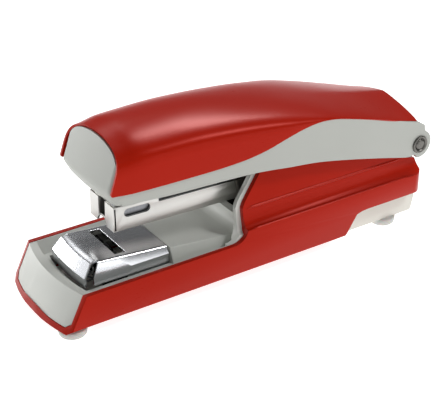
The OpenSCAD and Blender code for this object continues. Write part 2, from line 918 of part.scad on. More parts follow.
module handle_frame() {
    web_y = arm_rear - moulding_t / 2;
    color([0.72, 0.73, 0.7])
        difference() {
            union() {
                both_sides()
                    arm();
                nose_cap();
                rear_wall();
                // a cross web that ties the arms together under the cover
                translate([web_x, -web_y, lever_z + bracket_t])
                    cube([web_len, 2 * web_y, moulding_t]);
            }
            frame_screw_shanks();
            cross_rod(hinge_x, hinge_z, pin_d / 2 + pin_fit, -half_w, half_w);
        }
}

module handle_bracket() {
    ear_r = boss_r - 1;
    color([0.5, 0.5, 0.49])
        difference() {
            union() {
                translate([lever_front, -lever_out, lever_z])
                    cube([lever_end - lever_front, 2 * lever_out, bracket_t]);
                both_sides()
                    side_plate(lever_in, lever_out) {
                        polygon([[lever_front, lever_z - lever_depth], [lever_front, lever_z + bracket_t],
                                 [lever_end, lever_z + bracket_t], [seat_x + 4, seat_z + 2.5],
                                 [hinge_x + 2.6, hinge_z + 3], [hinge_x - 2.6, hinge_z - 3],
                                 [seat_x - 6, seat_z - lever_depth],
                                 [lever_end - 12, lever_z - lever_depth]]);
                        translate([hinge_x, hinge_z])
                            circle(r = ear_r);
                    }
                translate([seat_x - 5, -lever_in - touch, seat_z])
                    cube([10, 2 * (lever_in + touch), bracket_t]);
                // front tab that carries the driver blade
                in_magazine(press_deg)
                    translate([-blade_back - 0.25 + blade_t / 2 - touch, -crown_w / 2 + 0.6, 1.4])
                        cube([bracket_t, crown_w - 1.2, 8]);
            }
            cross_rod(hinge_x, hinge_z, pin_d / 2 + pin_fit, -half_w, half_w);
            frame_screw_shanks();
        }
}

// Two screws hold the bracket up against the frame's cross web
module frame_screws() {
    head_h = 1.2;
    color([0.6, 0.6, 0.6]) {
        frame_screw_shanks();
        for (y = [-screw_y, screw_y])
            translate([web_x + web_len / 2, y, lever_z - head_h])
                cylinder(h = head_h, r = screw_r + 1);
    }
}

// The blade stands square in the magazine at the end of its stroke
module driver_blade() {
    half = crown_w / 2 - touch;
    color([0.66, 0.66, 0.66])
        in_magazine(press_deg)
            translate([blade_x, -half, mag_low - 0.15])
                cube([blade_t - touch, 2 * half, 17]);
}

module blade_rivets() {
    head_h = 0.5;
    color([0.75, 0.75, 0.74])
        in_magazine(press_deg)
            for (y = [-3, 3])
                translate([blade_x - head_h, y, 6])
                    rotate([0, 90, 0])
                        cylinder(h = head_h, r = 1.2);
}

module handle_spring() {
    coil_r = 3;
    base = floor_z(seat_x - coil_r) + sheet + touch;
    color([0.5, 0.5, 0.5])
        translate([seat_x, 0, base])
            spring_tube(seat_z - base, coil_r, 0.5);
}

base_shell();
paper_table();
bottom_plate();
foot_front_left();
foot_front_right();
foot_rear_left();
foot_rear_right();
base_bracket();
base_screws();
clinch_former();
clinch_table();
table_pin();
table_spring();
hinge_pin();
hinge_ring_left();
hinge_ring_right();
magazine_spring();
magazine_channel();
staple_rail();
rail_rivets();
staple_strip();
staple_pusher();
pusher_rod();
pusher_spring();
handle_shell();
handle_frame();
handle_bracket();
frame_screws();
driver_blade();
blade_rivets();
handle_spring();
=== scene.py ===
# %% [markdown]
# # A flat-clinch desk stapler
# This lesson dresses the working model of a desk stapler: a red lacquered base and handle,
# light grey mouldings, a bright steel magazine and a chromed clinch table that dips when the
# handle comes down. The mechanism is already packed as a fixed frame of named parts. Each part
# that is seen gets a finer mesh or a finer finish here, in metres, where the frame says it is.

# %% Load the frame
import json
import math

import bmesh
import bpy
from mathutils import Matrix, Vector


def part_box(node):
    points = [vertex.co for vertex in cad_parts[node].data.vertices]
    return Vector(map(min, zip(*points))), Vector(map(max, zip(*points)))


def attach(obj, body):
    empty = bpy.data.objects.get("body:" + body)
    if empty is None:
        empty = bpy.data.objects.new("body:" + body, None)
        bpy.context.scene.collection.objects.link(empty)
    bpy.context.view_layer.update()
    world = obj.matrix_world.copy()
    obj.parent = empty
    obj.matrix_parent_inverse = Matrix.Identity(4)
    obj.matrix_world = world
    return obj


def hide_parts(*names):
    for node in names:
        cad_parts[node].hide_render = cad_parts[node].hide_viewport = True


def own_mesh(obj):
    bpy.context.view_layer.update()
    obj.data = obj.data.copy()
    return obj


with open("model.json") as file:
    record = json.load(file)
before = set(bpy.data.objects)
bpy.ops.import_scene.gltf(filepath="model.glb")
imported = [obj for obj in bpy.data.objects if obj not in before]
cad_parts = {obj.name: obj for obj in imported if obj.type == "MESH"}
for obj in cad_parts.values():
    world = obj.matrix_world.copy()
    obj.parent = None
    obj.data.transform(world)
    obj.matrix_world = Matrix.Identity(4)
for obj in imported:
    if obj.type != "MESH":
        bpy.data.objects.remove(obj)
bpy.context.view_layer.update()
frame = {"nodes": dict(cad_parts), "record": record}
MM = 0.001

# %% [markdown]
# ## Where things are
# A maker takes a few measurements off the finished mechanism and hangs everything on them:
# the hinge pin, the two ends of the handle, the nose and the width of the base, all read from
# the frame. The few that no part's box gives, such as the creases pressed in the flank, are set
# off from those by a plain distance.

# %% Places
def middle(node):
    low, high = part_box(node)
    return (low + high) / 2


hinge = middle("hinge_pin")
cover_low, cover_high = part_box("handle_shell")
rim_x, handle_end = cover_low.x, cover_high.x
handle_len = handle_end - rim_x
cover_half = cover_high.y
nose_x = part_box("base_shell")[0].x
base_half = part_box("base_shell")[1].y
slot_x = nose_x + 26.85 * MM
throat_x = hinge.x - 71.2 * MM
rail_tilt = math.radians(1.7)
weld = 0.002 * MM
crease_z, crease_y = hinge.z - 5.0 * MM, base_half - 3.7 * MM
shoulder_z, shoulder_y = hinge.z - 11.05 * MM, base_half - 0.42 * MM
print("hinge pin at x %.1f z %.1f mm" % (hinge.x / MM, hinge.z / MM))

# %% [markdown]
# ## Wiring a material in plain expressions
# A material is a small sum: a colour, times a slow cloudiness, plus a little dust. Drawing it
# as nodes by hand hides that sum, so a `Socket` here can be added and multiplied like a
# number, and a `Finish` owns the node tree and makes any other node that is asked for.

# %% Socket and Finish
class Socket:
    """One output of a node, usable in arithmetic."""

    def __init__(self, finish, output):
        self.finish = finish
        self.output = output

    def math(self, operation, first, second):
        return self.finish.node("ShaderNodeMath", {"operation": operation}, {0: first, 1: second})

    def __add__(self, other):
        return self.math("ADD", self, other)

    def __mul__(self, other):
        return self.math("MULTIPLY", self, other)

    __radd__ = __add__
    __rmul__ = __mul__


class Finish:
    """A material with one Principled shader; constants sit on the shader's own sockets."""

    def __init__(self, name, **constants):
        self.material = bpy.data.materials.new(name)
        self.material.use_nodes = True
        self.tree = self.material.node_tree
        self.shader = self.tree.nodes["Principled BSDF"]
        for socket, value in constants.items():
            self.shader.inputs[socket.replace("_", " ")].default_value = value
        self.place = self.node("ShaderNodeTexCoord", {}, {}, "Object")

    def node(self, kind, settings, sockets, out=0):
        made = self.tree.nodes.new(kind)
        for name, value in settings.items():
            setattr(made, name, value)
        for key, value in sockets.items():
            if isinstance(value, Socket):
                self.tree.links.new(value.output, made.inputs[key])
            else:
                made.inputs[key].default_value = value
        return Socket(self, made.outputs[out])

    def feed(self, socket, value):
        self.tree.links.new(value.output, self.shader.inputs[socket])

    def stretched(self, x, y, z):
        return self.node("ShaderNodeMapping", {}, {"Vector": self.place, "Scale": (x, y, z)})

    def noise(self, scale, detail=2.0, place=None):
        return self.node("ShaderNodeTexNoise", {},
                         {"Vector": place or self.place, "Scale": scale, "Detail": detail}, "Fac")

    def blend(self, amount, first, second):
        """A Mix node in its colour form, whose colours are sockets 6, 7 and the third output."""
        return self.node("ShaderNodeMix", {"data_type": "RGBA"},
                         {"Factor": amount, 6: first, 7: second}, 2)

    def bumps(self, height, strength, depth):
        normal = self.node("ShaderNodeBump", {}, {"Height": height, "Strength": strength,
                                                  "Distance": depth}, "Normal")
        self.feed("Normal", normal)


def rgb(red, green, blue):
    """A colour from 0-255 screen values, as the linear light that shaders want."""
    return tuple(((v / 255 + 0.055) / 1.055) ** 2.4 if v > 10 else v / 3294
                 for v in (red, green, blue)) + (1.0,)


# %% [markdown]
# ## Red lacquer
# The two red pieces are lacquered in a satin red. Sprayed lacquer is never quite flat: it has
# a very fine orange peel, a slow cloudiness, and after some use a haze of hairline scratches
# that shows only as a change of gloss. A clear coat on top would turn every highlight white, so
# there is none. A red tint on the shader's own reflection keeps the highlights warm instead.

# %% Red lacquer
def make_red_lacquer():
    paint = Finish("red_lacquer", Specular_IOR_Level=0.36, Specular_Tint=(1.0, 0.2, 0.17, 1.0))
    cloud = paint.noise(28.0, 3.0)
    paint.feed("Base Color", paint.blend(cloud, rgb(164, 24, 5), rgb(172, 28, 8)))
    hairlines = paint.noise(420.0, 2.0, paint.stretched(1.0, 9.0, 9.0))
    paint.feed("Roughness", 0.24 + 0.07 * hairlines + 0.04 * cloud)
    paint.bumps(paint.noise(1500.0, 2.0), 0.06, 0.08 * MM)
    return paint.material


# %% [markdown]
# ## Moulded plastics
# The grey and off-white mouldings come out of a spark-eroded tool, which leaves an even, very
# fine grain. The grain is bump and a little unevenness of gloss. The colour only drifts. The inlay
# that lies in shade in the base gets a paler grey than the handle's frame: painted light on that
# shade.

# %% Moulded plastics
def make_moulding(name, light, dark, roughness, grain):
    plastic = Finish(name, Specular_IOR_Level=0.4)
    cloud = plastic.noise(35.0, 3.0)
    plastic.feed("Base Color", plastic.blend(cloud, dark, light))
    plastic.feed("Roughness", roughness + 0.1 * plastic.noise(300.0))
    plastic.bumps(plastic.noise(2600.0, 3.0), grain, 0.06 * MM)
    return plastic.material


# %% [markdown]
# ## Metals
# Sheet steel is brushed along its length, so its noise is stretched along X: long streaks in
# roughness and a faint groove in the bump. Chrome is the same recipe with hardly any groove,
# and spring wire is drawn, so it keeps a dull, even skin.

# %% Metals
def make_metal(name, colour, roughness, streak, groove):
    metal = Finish(name, Metallic=1.0)
    lines = metal.noise(900.0, 3.0, metal.stretched(0.04, 1.0, 1.0))
    smudge = metal.noise(90.0, 2.0)
    dark = tuple(c * 0.86 for c in colour[:3]) + (1.0,)
    metal.feed("Base Color", metal.blend(smudge, dark, colour))
    metal.feed("Roughness", roughness + streak * lines + 0.06 * smudge)
    metal.bumps(lines, groove, 0.03 * MM)
    return metal.material


# %% [markdown]
# ## Rubber
# The feet are cast in a soft, slightly milky rubber that picks up dust.

# %% Rubber
def make_rubber():
    rubber = Finish("clear_rubber", Subsurface_Weight=0.25, Subsurface_Scale=2 * MM)
    dust = rubber.noise(220.0, 4.0)
    rubber.feed("Base Color", rubber.blend(dust, rgb(186, 188, 184), rgb(214, 214, 208)))
    rubber.feed("Roughness", 0.5 + 0.2 * dust)
    rubber.bumps(rubber.noise(1200.0), 0.15, 0.1 * MM)
    return rubber.material


# %% The rack of finishes
mouldings = {  # name: light colour, dark colour, roughness, strength of the grain
    "grey_moulding": (rgb(181, 183, 177), rgb(174, 176, 170), 0.42, 0.22),
    # painted light: a paler copy of the grey for the paper table, which lies in shade
    "shade_lifted_moulding": (rgb(214, 216, 210), rgb(206, 208, 202), 0.42, 0.22),
    "white_moulding": (rgb(226, 223, 214), rgb(218, 215, 206), 0.46, 0.2),
    "black_moulding": (rgb(38, 38, 40), rgb(30, 30, 32), 0.5, 0.25),
}
metals = {  # name: colour, roughness, streak, strength of the groove
    "dark_steel": (rgb(112, 108, 102), 0.34, 0.16, 0.2),
    # near-black; the flange-gap strips also wear it as painted shade
    "blued_steel": (rgb(14, 14, 16), 0.55, 0.1, 0.1),
    "plated_steel": (rgb(190, 190, 186), 0.24, 0.1, 0.1),
    "satin_steel": (rgb(208, 207, 203), 0.22, 0.16, 0.16),
    "bright_chrome": (rgb(224, 226, 230), 0.14, 0.12, 0.08),
    # a darker, duller copy of the chrome for the hinge; its dark colour is painted shade that keeps
    # the ends from mirroring the bright floor
    "dull_shaded_chrome": (rgb(118, 116, 112), 0.3, 0.1, 0.1),
    "spring_steel": (rgb(150, 150, 150), 0.3, 0.08, 0.1),
    "staple_wire": (rgb(146, 148, 152), 0.26, 0.1, 0.1),
}
finishes = {"red_lacquer": make_red_lacquer(), "clear_rubber": make_rubber()}
finishes.update({name: make_moulding(name, *look) for name, look in mouldings.items()})
finishes.update({name: make_metal(name, *look) for name, look in metals.items()})
slot_of = {part["node"]: part["material_slot"] for part in frame["record"]["subparts"]}
for node, piece in frame["nodes"].items():
    piece.data.materials.clear()
    piece.data.materials.append(finishes[slot_of[node]])
print("finishes:", ", ".join(sorted(finishes)))

# %% [markdown]
# ## Turning a sketch into a piece
# Every new piece ends the same way: the sketch (a bmesh) becomes a mesh, gets its finish, rides
# on the body that the part belongs to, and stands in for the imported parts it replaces. Small
# edge rounds come from a Bevel modifier, because real sheet and plastic never end in a razor
# edge and those rounds are what catch the light.

# %% Finishing a piece
body_of = {node: body for body, nodes in frame["record"]["behaviour"]["bodies"].items()
           for node in nodes}


def edge_round(piece, width, angle=30):
    bevel = piece.modifiers.new("edge_round", "BEVEL")
    bevel.width = width
    bevel.segments = 3
    bevel.limit_method = "ANGLE"
    bevel.angle_limit = math.radians(angle)
    bevel.harden_normals = True


def wall(piece, thickness):
    """Thickens a skin inwards."""
    solidify = piece.modifiers.new("wall", "SOLIDIFY")
    solidify.thickness = thickness
    solidify.offset = -1.0
    solidify.use_even_offset = True


def finish_piece(sketch, name, *nodes, smooth=True):
    mesh = bpy.data.meshes.new(name)
    sketch.to_mesh(mesh)
    sketch.free()
    piece = bpy.data.objects.new(name, mesh)
    bpy.context.scene.collection.objects.link(piece)
    for face in mesh.polygons:
        face.use_smooth = smooth
    slot = slot_of[nodes[0]]
    mesh.materials.append(finishes[slot])
    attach(piece, body_of[nodes[0]])
    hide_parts(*nodes)
    print("%-22s %6d faces" % (name, len(mesh.polygons)))
    return piece


def refinish(piece, name):
    piece.data.materials[0] = finishes[name]


# %% [markdown]
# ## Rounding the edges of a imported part
# Many parts have the right shape already and only lack soft edges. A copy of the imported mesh
# is welded, its flat triangles are dissolved back into whole faces, and the Bevel modifier
# then rounds what is really an edge.

# %% Soft-edged copies
def soft_copy(node, width):
    sketch = bmesh.new()
    sketch.from_mesh(frame["nodes"][node].data)
    bmesh.ops.remove_doubles(sketch, verts=sketch.verts, dist=weld)
    bmesh.ops.dissolve_limit(sketch, angle_limit=math.radians(1.0), verts=sketch.verts,
                             edges=sketch.edges)
    piece = finish_piece(sketch, node + "_soft", node)
    edge_round(piece, width)
    return piece


for node, width in (("base_shell", 0.45 * MM), ("paper_table", 0.35 * MM),
                    ("bottom_plate", 0.7 * MM), ("magazine_channel", 0.14 * MM),
                    ("base_bracket", 0.15 * MM), ("handle_bracket", 0.2 * MM),
                    ("driver_blade", 0.08 * MM), ("clinch_former", 0.15 * MM),
                    ("staple_pusher", 0.3 * MM), ("staple_rail", 0.12 * MM)):
    piece = soft_copy(node, width)
    # The paper table's paler grey is painted light that lifts the shade it lies in.
    if node == "paper_table":
        refinish(piece, "shade_lifted_moulding")

# %% [markdown]
# ## The gap behind the magazine's front flange
# The channel's two front flanges are bent in from the side walls and stop short of them, so a
# dark upright line of shade shows on each side just behind the corner. A real cut would be a hair
# wide, so that shade is painted as a slim near-black strip let into the wall, with its long edges
# bevelled away.

# %% Painted shade in the flange gaps
def make_flange_gap_shade():
    low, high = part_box("magazine_channel")
    width, depth, height = 0.5 * MM, 0.3 * MM, 7.4 * MM
    behind_corner, let_in, above_lip = 0.75 * MM, 0.11 * MM, 7.2 * MM
    sketch = bmesh.new()
    for side in (-1, 1):
        bar = bmesh.ops.create_cube(sketch, size=1.0)["verts"]
        bmesh.ops.scale(sketch, vec=(width, depth, height), verts=bar)
        bmesh.ops.translate(sketch, vec=(low.x + behind_corner, side * (high.y - let_in),
                                         low.z + above_lip), verts=bar)
    upright = [e for e in sketch.edges if abs(e.verts[0].co.z - e.verts[1].co.z) > MM]
    bmesh.ops.bevel(sketch, geom=upright, offset=0.06 * MM, offset_type="OFFSET", segments=2,
                    profile=0.5, affect="EDGES", material=-1)
    piece = finish_piece(sketch, "flange_gap_shade", "magazine_channel", smooth=False)
    # near-black: painted shade of the gap, not the steel's own colour
    refinish(piece, "blued_steel")


make_flange_gap_shade()

# %% [markdown]
# ## Pressed beads on the flank
# Two fine beads run along each side of the base, one where the flank starts to lean in and one
# along the shoulder. They draw the thin bright lines down the side. Each is an eight-sided bar
# that tapers to a point at both ends, kept flat-sided so that one face looks up at the light.

# %% Pressed beads
def only_verts(items):
    return [item for item in items if isinstance(item, bmesh.types.BMVert)]


def edges_between(items, verts):
    return [item for item in items if isinstance(item, bmesh.types.BMEdge)
            and all(vert in verts for vert in item.verts)]


def draw_to_point(sketch, edges, point):
    tip = bmesh.ops.extrude_edge_only(sketch, edges=edges)["geom"]
    bmesh.ops.pointmerge(sketch, verts=only_verts(tip), merge_co=point)


def add_bead(sketch, start, end, radius, taper):
    sides = 8
    run = (end - start).normalized()
    turned = (Vector((0, 0, 1)).rotation_difference(run).to_matrix().to_4x4()
              @ Matrix.Rotation(math.pi / sides, 4, "Z"))
    ring = bmesh.ops.create_circle(sketch, cap_ends=False, segments=sides, radius=radius,
                                   matrix=Matrix.Translation(start + run * taper) @ turned)
    edges = list({edge for vert in ring["verts"] for edge in vert.link_edges})
    draw_to_point(sketch, edges, start)
    made = bmesh.ops.extrude_edge_only(sketch, edges=edges)["geom"]
    far = only_verts(made)
    bmesh.ops.translate(sketch, vec=end - start - 2 * taper * run, verts=far)
    draw_to_point(sketch, edges_between(made, far), end)


def make_beads():
    front = throat_x + 0.4 * MM
    sketch = bmesh.new()
    for side in (-1, 1):
        for z, y, short in ((crease_z, crease_y, 5.2 * MM), (shoulder_z, shoulder_y, 2.6 * MM)):
            add_bead(sketch, Vector((front, side * y, z)), Vector((hinge.x - short, side * y, z)),
                     radius=0.42 * MM, taper=3 * MM)
    bmesh.ops.recalc_face_normals(sketch, faces=sketch.faces)
    finish_piece(sketch, "base_beads", "base_shell", smooth=False)


make_beads()

# %% [markdown]
# ## Curves through a few points
# The handle's outlines are drawn as a draughtsman would: a handful of heights, and a smooth
# curve through them. `through` is that flexible ruler.

# %% A flexible ruler
def through(points, at):
    """Height of the smooth curve through (place, height) points."""
    last = len(points) - 1
    at = min(max(at, points[0][0]), points[last][0])
    i = max(k for k in range(last) if points[k][0] <= at)

    def slope(k):
        a, b = points[max(k - 1, 0)], points[min(k + 1, last)]
        return (b[1] - a[1]) / (b[0] - a[0])

    (x0, y0), (x1, y1) = points[i], points[i + 1]
    span = x1 - x0
    t = (at - x0) / span
    return ((1 + 2 * t) * (1 - t) ** 2 * y0 + t * (1 - t) ** 2 * span * slope(i)
            + t * t * (3 - 2 * t) * y1 - t * t * (1 - t) * span * slope(i + 1))


def ease(value, start, end):
    t = min(1.0, max(0.0, (value - start) / (end - start)))
    return t * t * (3 - 2 * t)


# %% [markdown]
# ## The handle's lines
# Four lines make the handle: the ridge along the top, the cover's lower edge, the grey
# frame's lower edge, and the plan, which widens from the nose to the middle. Places run from
# 0 at the front rim to 1 at the rear end; heights are in millimetres.

# %% The handle's lines
ridge_drop = [(0, 1.6), (0.08, 0.5), (0.18, 0.05), (0.275, 0), (0.37, 0.7), (0.47, 2.2),
              (0.57, 4.2), (0.67, 6.7), (0.78, 9.6), (0.9, 12.8), (1, 15)]
edge_rise = [(0, 13), (0.07, 12.4), (0.28, 12.6), (0.37, 13.1), (0.42, 13.8), (0.47, 15),
             (0.52, 16.8), (0.565, 18.2), (0.61, 19.1), (0.645, 19.3), (0.68, 18.9), (0.72, 18),
             (0.83, 14.6), (0.99, 8.8), (1, 8.5)]
under_rise = [(0, 9), (0.1, 8.4), (0.19, 8), (0.36, 7.9), (0.44, 7.6), (0.52, 6.7),
              (0.63, 5.2), (0.73, 2.9), (0.845, -0.2), (0.96, -3.6)]
front_half = cover_half - 2.8 * MM
taper_end = 0.54
rim_lean = 0.36
cover_wall = 0.8 * MM


def along(f):
    return rim_x + f * handle_len


def ridge_z(f):
    return cover_high.z - through(ridge_drop, f) * MM


def edge_z(f):
    return hinge.z + through(edge_rise, f) * MM


def half_width(f):
    return front_half + (cover_half - front_half) * min(1.0, f / taper_end)


def boxy(f):
    """1 where the section is a box with a crowned top, 0 where it is a plain arch."""
    return 1 - ease(f, 0.3, 0.75)


def cover_height(f, u, drop=0.0):
    """Height of the cover's skin at a place f along and u (-1 to 1) across."""
    crisp = ease(f, 0.0, 0.16) * (1 - ease(f, 0.45, 0.7))
    power = 1.7 + (3.5 + 2.5 * crisp) * boxy(f) - 0.45 * ease(f, 0.62, 0.9)
    crown = (3.2 + 0.8 * crisp) * MM * boxy(f)
    rise = ridge_z(f) - edge_z(f) - crown
    side = max(0.0, 1 - abs(u) ** power) ** (1 / power)
    return edge_z(f) + rise * side + crown * (1 - u * u) - drop


def lean(f, z):
    """How far back the front rim stands at height z; it dies away just behind the rim."""
    return rim_lean * (z - edge_z(0)) * (1 - ease(f, 0, 0.12))


print("cover: ridge %.1f mm, lower edge %.1f mm at the nose" % (ridge_z(0) / MM, edge_z(0) / MM))

# %% [markdown]
# ## Drawing a skin
# A pressed cover is a skin of nearly even thickness. `skin` draws the first cross-section as a
# chain of edges and then pulls that chain along the piece with extrude, setting each new chain
# on the next section. The wall comes afterwards, from Solidify.

# %% Drawing a skin
def skin(sections):
    sketch = bmesh.new()
    chain = [sketch.verts.new(point) for point in sections[0]]
    edges = [sketch.edges.new(pair) for pair in zip(chain, chain[1:])]
    for section in sections[1:]:
        made = bmesh.ops.extrude_edge_only(sketch, edges=edges)["geom"]
        partner = {}
        for vert in only_verts(made):
            for edge in vert.link_edges:
                other = edge.other_vert(vert)
                if other in chain:
                    partner[other] = vert
        chain = [partner[old] for old in chain]
        for vert, point in zip(chain, section):
            vert.co = point
        edges = [sketch.edges.get(pair) for pair in zip(chain, chain[1:])]
    bmesh.ops.remove_doubles(sketch, verts=sketch.verts, dist=0.005 * MM)
    bmesh.ops.recalc_face_normals(sketch, faces=sketch.faces)
    return sketch


def face_outwards(sketch, centre):
    """Turns a skin's faces away from a point inside it."""
    for face in sketch.faces:
        face.normal_update()
    total = sum((face.calc_center_median() - centre).dot(face.normal) * face.calc_area()
                for face in sketch.faces)
    if total < 0:
        bmesh.ops.reverse_faces(sketch, faces=sketch.faces)


# %% [markdown]
# ## The handle cover
# The red cover is the biggest surface of the stapler. At the nose its section is a box with a
# crowned top and a tight shoulder; towards the hinge the shoulder melts into a plain arch.

# %% The handle cover
def cover_section(f, steps=40):
    rear_taper = 1.3 * MM * ease(f, 0.9, 1.0)
    points = []
    for i in range(steps + 1):
        u = -math.cos(math.pi * i / steps)
        z = cover_height(f, u)
        points.append(Vector((along(f) + lean(f, z), u * (half_width(f) - rear_taper), z)))
    return points


def make_cover():
    sections = 48
    sketch = skin([cover_section(i / sections) for i in range(sections + 1)])
    face_outwards(sketch, Vector((0, 0, hinge.z)))
    corners = [v for v in sketch.verts if v.is_boundary and len(v.link_edges) == 2 and v.co.x < 0]
    bmesh.ops.bevel(sketch, geom=corners, offset=0.8 * MM, offset_type="OFFSET", segments=4,
                    profile=0.5, affect="VERTICES", material=-1)
    piece = finish_piece(sketch, "handle_cover", "handle_shell")
    wall(piece, cover_wall)
    edge_round(piece, 0.3 * MM, angle=50)


make_cover()

# %% [markdown]
# ## The handle frame
# Two arms, the nose cap and the hinge bosses are one grey moulding: a wall that runs forward
# from one boss, round the nose and back to the other. It is drawn as one skin of upright
# columns that follow the plan, so the corner between cap and arm needs no joint.

# %% The handle frame
boss_r = 5.0 * MM
arm_wall = 1.6 * MM
arm_rows = 12
cap_share = 0.8
clearance = 0.12 * MM


def arm_half(f):
    """Half width of the frame, a step inside the cover that is widest at the nose."""
    step = (1.0 - 0.7 * min(1.0, f / taper_end)) * MM
    return half_width(f) - step


def boss_height(reach):
    return math.sqrt(max(0.0, boss_r ** 2 - reach ** 2))


def arm_column(x):
    """One upright column of the arm on the +y side, from its lower to its upper edge."""
    f = (x - rim_x) / handle_len
    low = hinge.z + through(under_rise, f) * MM
    high = edge_z(min(f, 1.0)) - clearance
    reach = x - hinge.x
    if reach > -1.3 * MM:
        low = hinge.z - boss_height(reach)
    if f > 1.0:
        high = hinge.z + 8.5 * MM - (x - handle_end) * 0.62
    if reach > 2.2 * MM:
        high = hinge.z + boss_height(reach)
    y = arm_half(min(f, 1.0))
    return [Vector((x, y, low + (high - low) * row / arm_rows)) for row in range(arm_rows + 1)]


def cap_column(share):
    """One upright column of the nose cap; share runs from 1 at the arm to 0 in the middle."""
    corner, bow = 1.6 * MM, 150 * MM
    half = arm_half(0.0) - 0.1 * MM
    turn = math.radians(90) * ease(share, cap_share, 1.0)
    if share < cap_share:
        y = share / cap_share * (half - corner)
    else:
        y = half - corner * (1 - math.sin(turn))
    back = y * y / (2 * bow) + corner * (1 - math.cos(turn))
    low = hinge.z + 8.9 * MM
    inset = cover_wall + clearance
    high = cover_height(0.02, min(0.999, y / (front_half - inset)), inset)
    column = []
    for row in range(arm_rows + 1):
        z = low + (high - low) * row / arm_rows
        rise = z - edge_z(0)
        lean_back = rim_lean * rise if rise > 0 else 0.5 * -rise
        column.append(Vector((rim_x - 0.5 * MM + back + lean_back, y, z)))
    return column


def mirrored(column):
    return [Vector((p.x, -p.y, p.z)) for p in column]


def make_frame():
    front, rear, arm_steps, cap_steps = rim_x + 4 * MM, hinge.x - 1.6 * MM, 60, 24
    boss_places = [hinge.x + boss_r * math.cos(math.radians(a)) for a in range(0, 105, 7)]
    arm_places = [front + (rear - front) * i / arm_steps for i in range(arm_steps, -1, -1)]
    left = [arm_column(x) for x in boss_places + arm_places]
    left += [cap_column(1 - i / cap_steps) for i in range(cap_steps + 1)]
    sketch = skin(left + [mirrored(column) for column in reversed(left[:-1])])
    face_outwards(sketch, Vector((0, 0, hinge.z + 8 * MM)))
    piece = finish_piece(sketch, "handle_frame_wall", "handle_frame")
    wall(piece, arm_wall)
    edge_round(piece, 0.35 * MM, angle=50)


make_frame()

# %% [markdown]
# ## The clinch table
# The chromed table is one folded sheet: a top with a slot, a bowed front that slopes forward and
# two side flaps that lean out. The corners between front and flaps are left open, as sheet is
# folded. The top starts as a grid without the slot's cells. Its outer edges are pulled down into
# the front and the flaps, and the side folds are rounded afterwards.

# %% The clinch table
table_low, table_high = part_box("clinch_table")


def make_table():
    half = table_high.y - 1.6 * MM
    front_x, back_x = table_low.x + 3.0 * MM, table_low.x + 30.0 * MM
    front_z, back_z = table_high.z, table_high.z - 2.3 * MM
    sill_z, skirt_z = hinge.z - 14.9 * MM, hinge.z - 18.2 * MM
    panel, bow = 9.6 * MM, 62 * MM
    slot_half, slot_reach = 8.4 * MM, 1.85 * MM
    columns = [front_x + 2.2 * MM, front_x + 4.4 * MM, slot_x - slot_reach, slot_x + slot_reach,
               back_x]
    rows = [-half, -panel, -slot_half, -slot_half / 2, 0.0, slot_half / 2, slot_half, panel, half]
    last_column, last_row, slot_column = len(columns) - 1, len(rows) - 1, 2

    def top(i, y):
        x = columns[i] + (y * y / (2 * bow) if i == 0 else 0.0)
        share = (x - front_x) / (back_x - front_x)
        return Vector((x, y, front_z + (back_z - front_z) * share))

    sketch = bmesh.new()
    grid = [[sketch.verts.new(top(i, y)) for y in rows] for i in range(len(columns))]
    for i in range(last_column):
        for j in range(last_row):
            if i != slot_column or abs(rows[j] + rows[j + 1]) / 2 > slot_half:
                sketch.faces.new((grid[i][j], grid[i + 1][j], grid[i + 1][j + 1], grid[i][j + 1]))

    def pull(edges, place):
        made = bmesh.ops.extrude_edge_only(sketch, edges=edges)["geom"]
        fresh = only_verts(made)
        for vert in fresh:
            vert.co = place(vert.co)
        return edges_between(made, fresh)

    roll, front_slope, front_splay = 1.1 * MM, 2.9 * MM, 1.14
    edges = [sketch.edges.get((grid[0][j], grid[0][j + 1])) for j in range(1, last_row - 1)]
    for drop in (0.22 * MM, 0.5 * MM):
        edges = pull(edges, lambda p: Vector((p.x - roll, p.y, front_z - drop)))
    edges = pull(edges, lambda p: Vector((p.x - front_slope, p.y * front_splay, sill_z)))
    pull(edges, lambda p: Vector((p.x, p.y, skirt_z)))

    flap_splay, flap_tuck, flap_front, flap_rise = 1.145, 0.99, 2.4 * MM, 0.03
    folds = []
    for j in (0, last_row):
        side = [sketch.edges.get((grid[i][j], grid[i + 1][j])) for i in range(last_column)]
        folds += side
        first = grid[0][j].co.x
        edges = pull(side, lambda p: Vector((p.x - (flap_front if abs(p.x - first) < 1e-6 else 0),
                                             p.y * flap_splay, sill_z)))
        pull(edges, lambda p: Vector((p.x, p.y * flap_tuck,
                                      skirt_z + 0.4 * MM - flap_rise * (p.x - front_x))))
    bmesh.ops.recalc_face_normals(sketch, faces=sketch.faces)
    bmesh.ops.bevel(sketch, geom=folds, offset=0.6 * MM, offset_type="OFFSET", segments=4,
                    profile=0.5, affect="EDGES", material=-1)
    face_outwards(sketch, Vector(((front_x + back_x) / 2, 0, skirt_z)))
    piece = finish_piece(sketch, "clinch_table_sheet", "clinch_table")
    wall(piece, 0.8 * MM)
    edge_round(piece, 0.15 * MM)


make_table()

# %% [markdown]
# ## Turned pieces
# The feet, the hinge pin and the chrome rings round its ends are all turned, so each is a half
# outline spun about its axis, the way a lathe would cut it.

# %% Turned pieces
def turn(outline, centre, axis, steps=48):
    """Spins an outline of (radius, height) points about an axis through centre."""
    sketch = bmesh.new()
    chain = [sketch.verts.new((r, 0, h)) for r, h in outline]
    edges = [sketch.edges.new(pair) for pair in zip(chain, chain[1:])]
    bmesh.ops.spin(sketch, geom=chain + edges, cent=(0, 0, 0), axis=(0, 0, 1), dvec=(0, 0, 0),
                   angle=math.tau, steps=steps, use_merge=True, use_duplicate=False)
    bmesh.ops.remove_doubles(sketch, verts=sketch.verts, dist=weld)
    bmesh.ops.recalc_face_normals(sketch, faces=sketch.faces)
    turned = Vector((0, 0, 1)).rotation_difference(Vector(axis)).to_matrix().to_4x4()
    bmesh.ops.transform(sketch, matrix=Matrix.Translation(centre) @ turned, verts=sketch.verts)
    return sketch


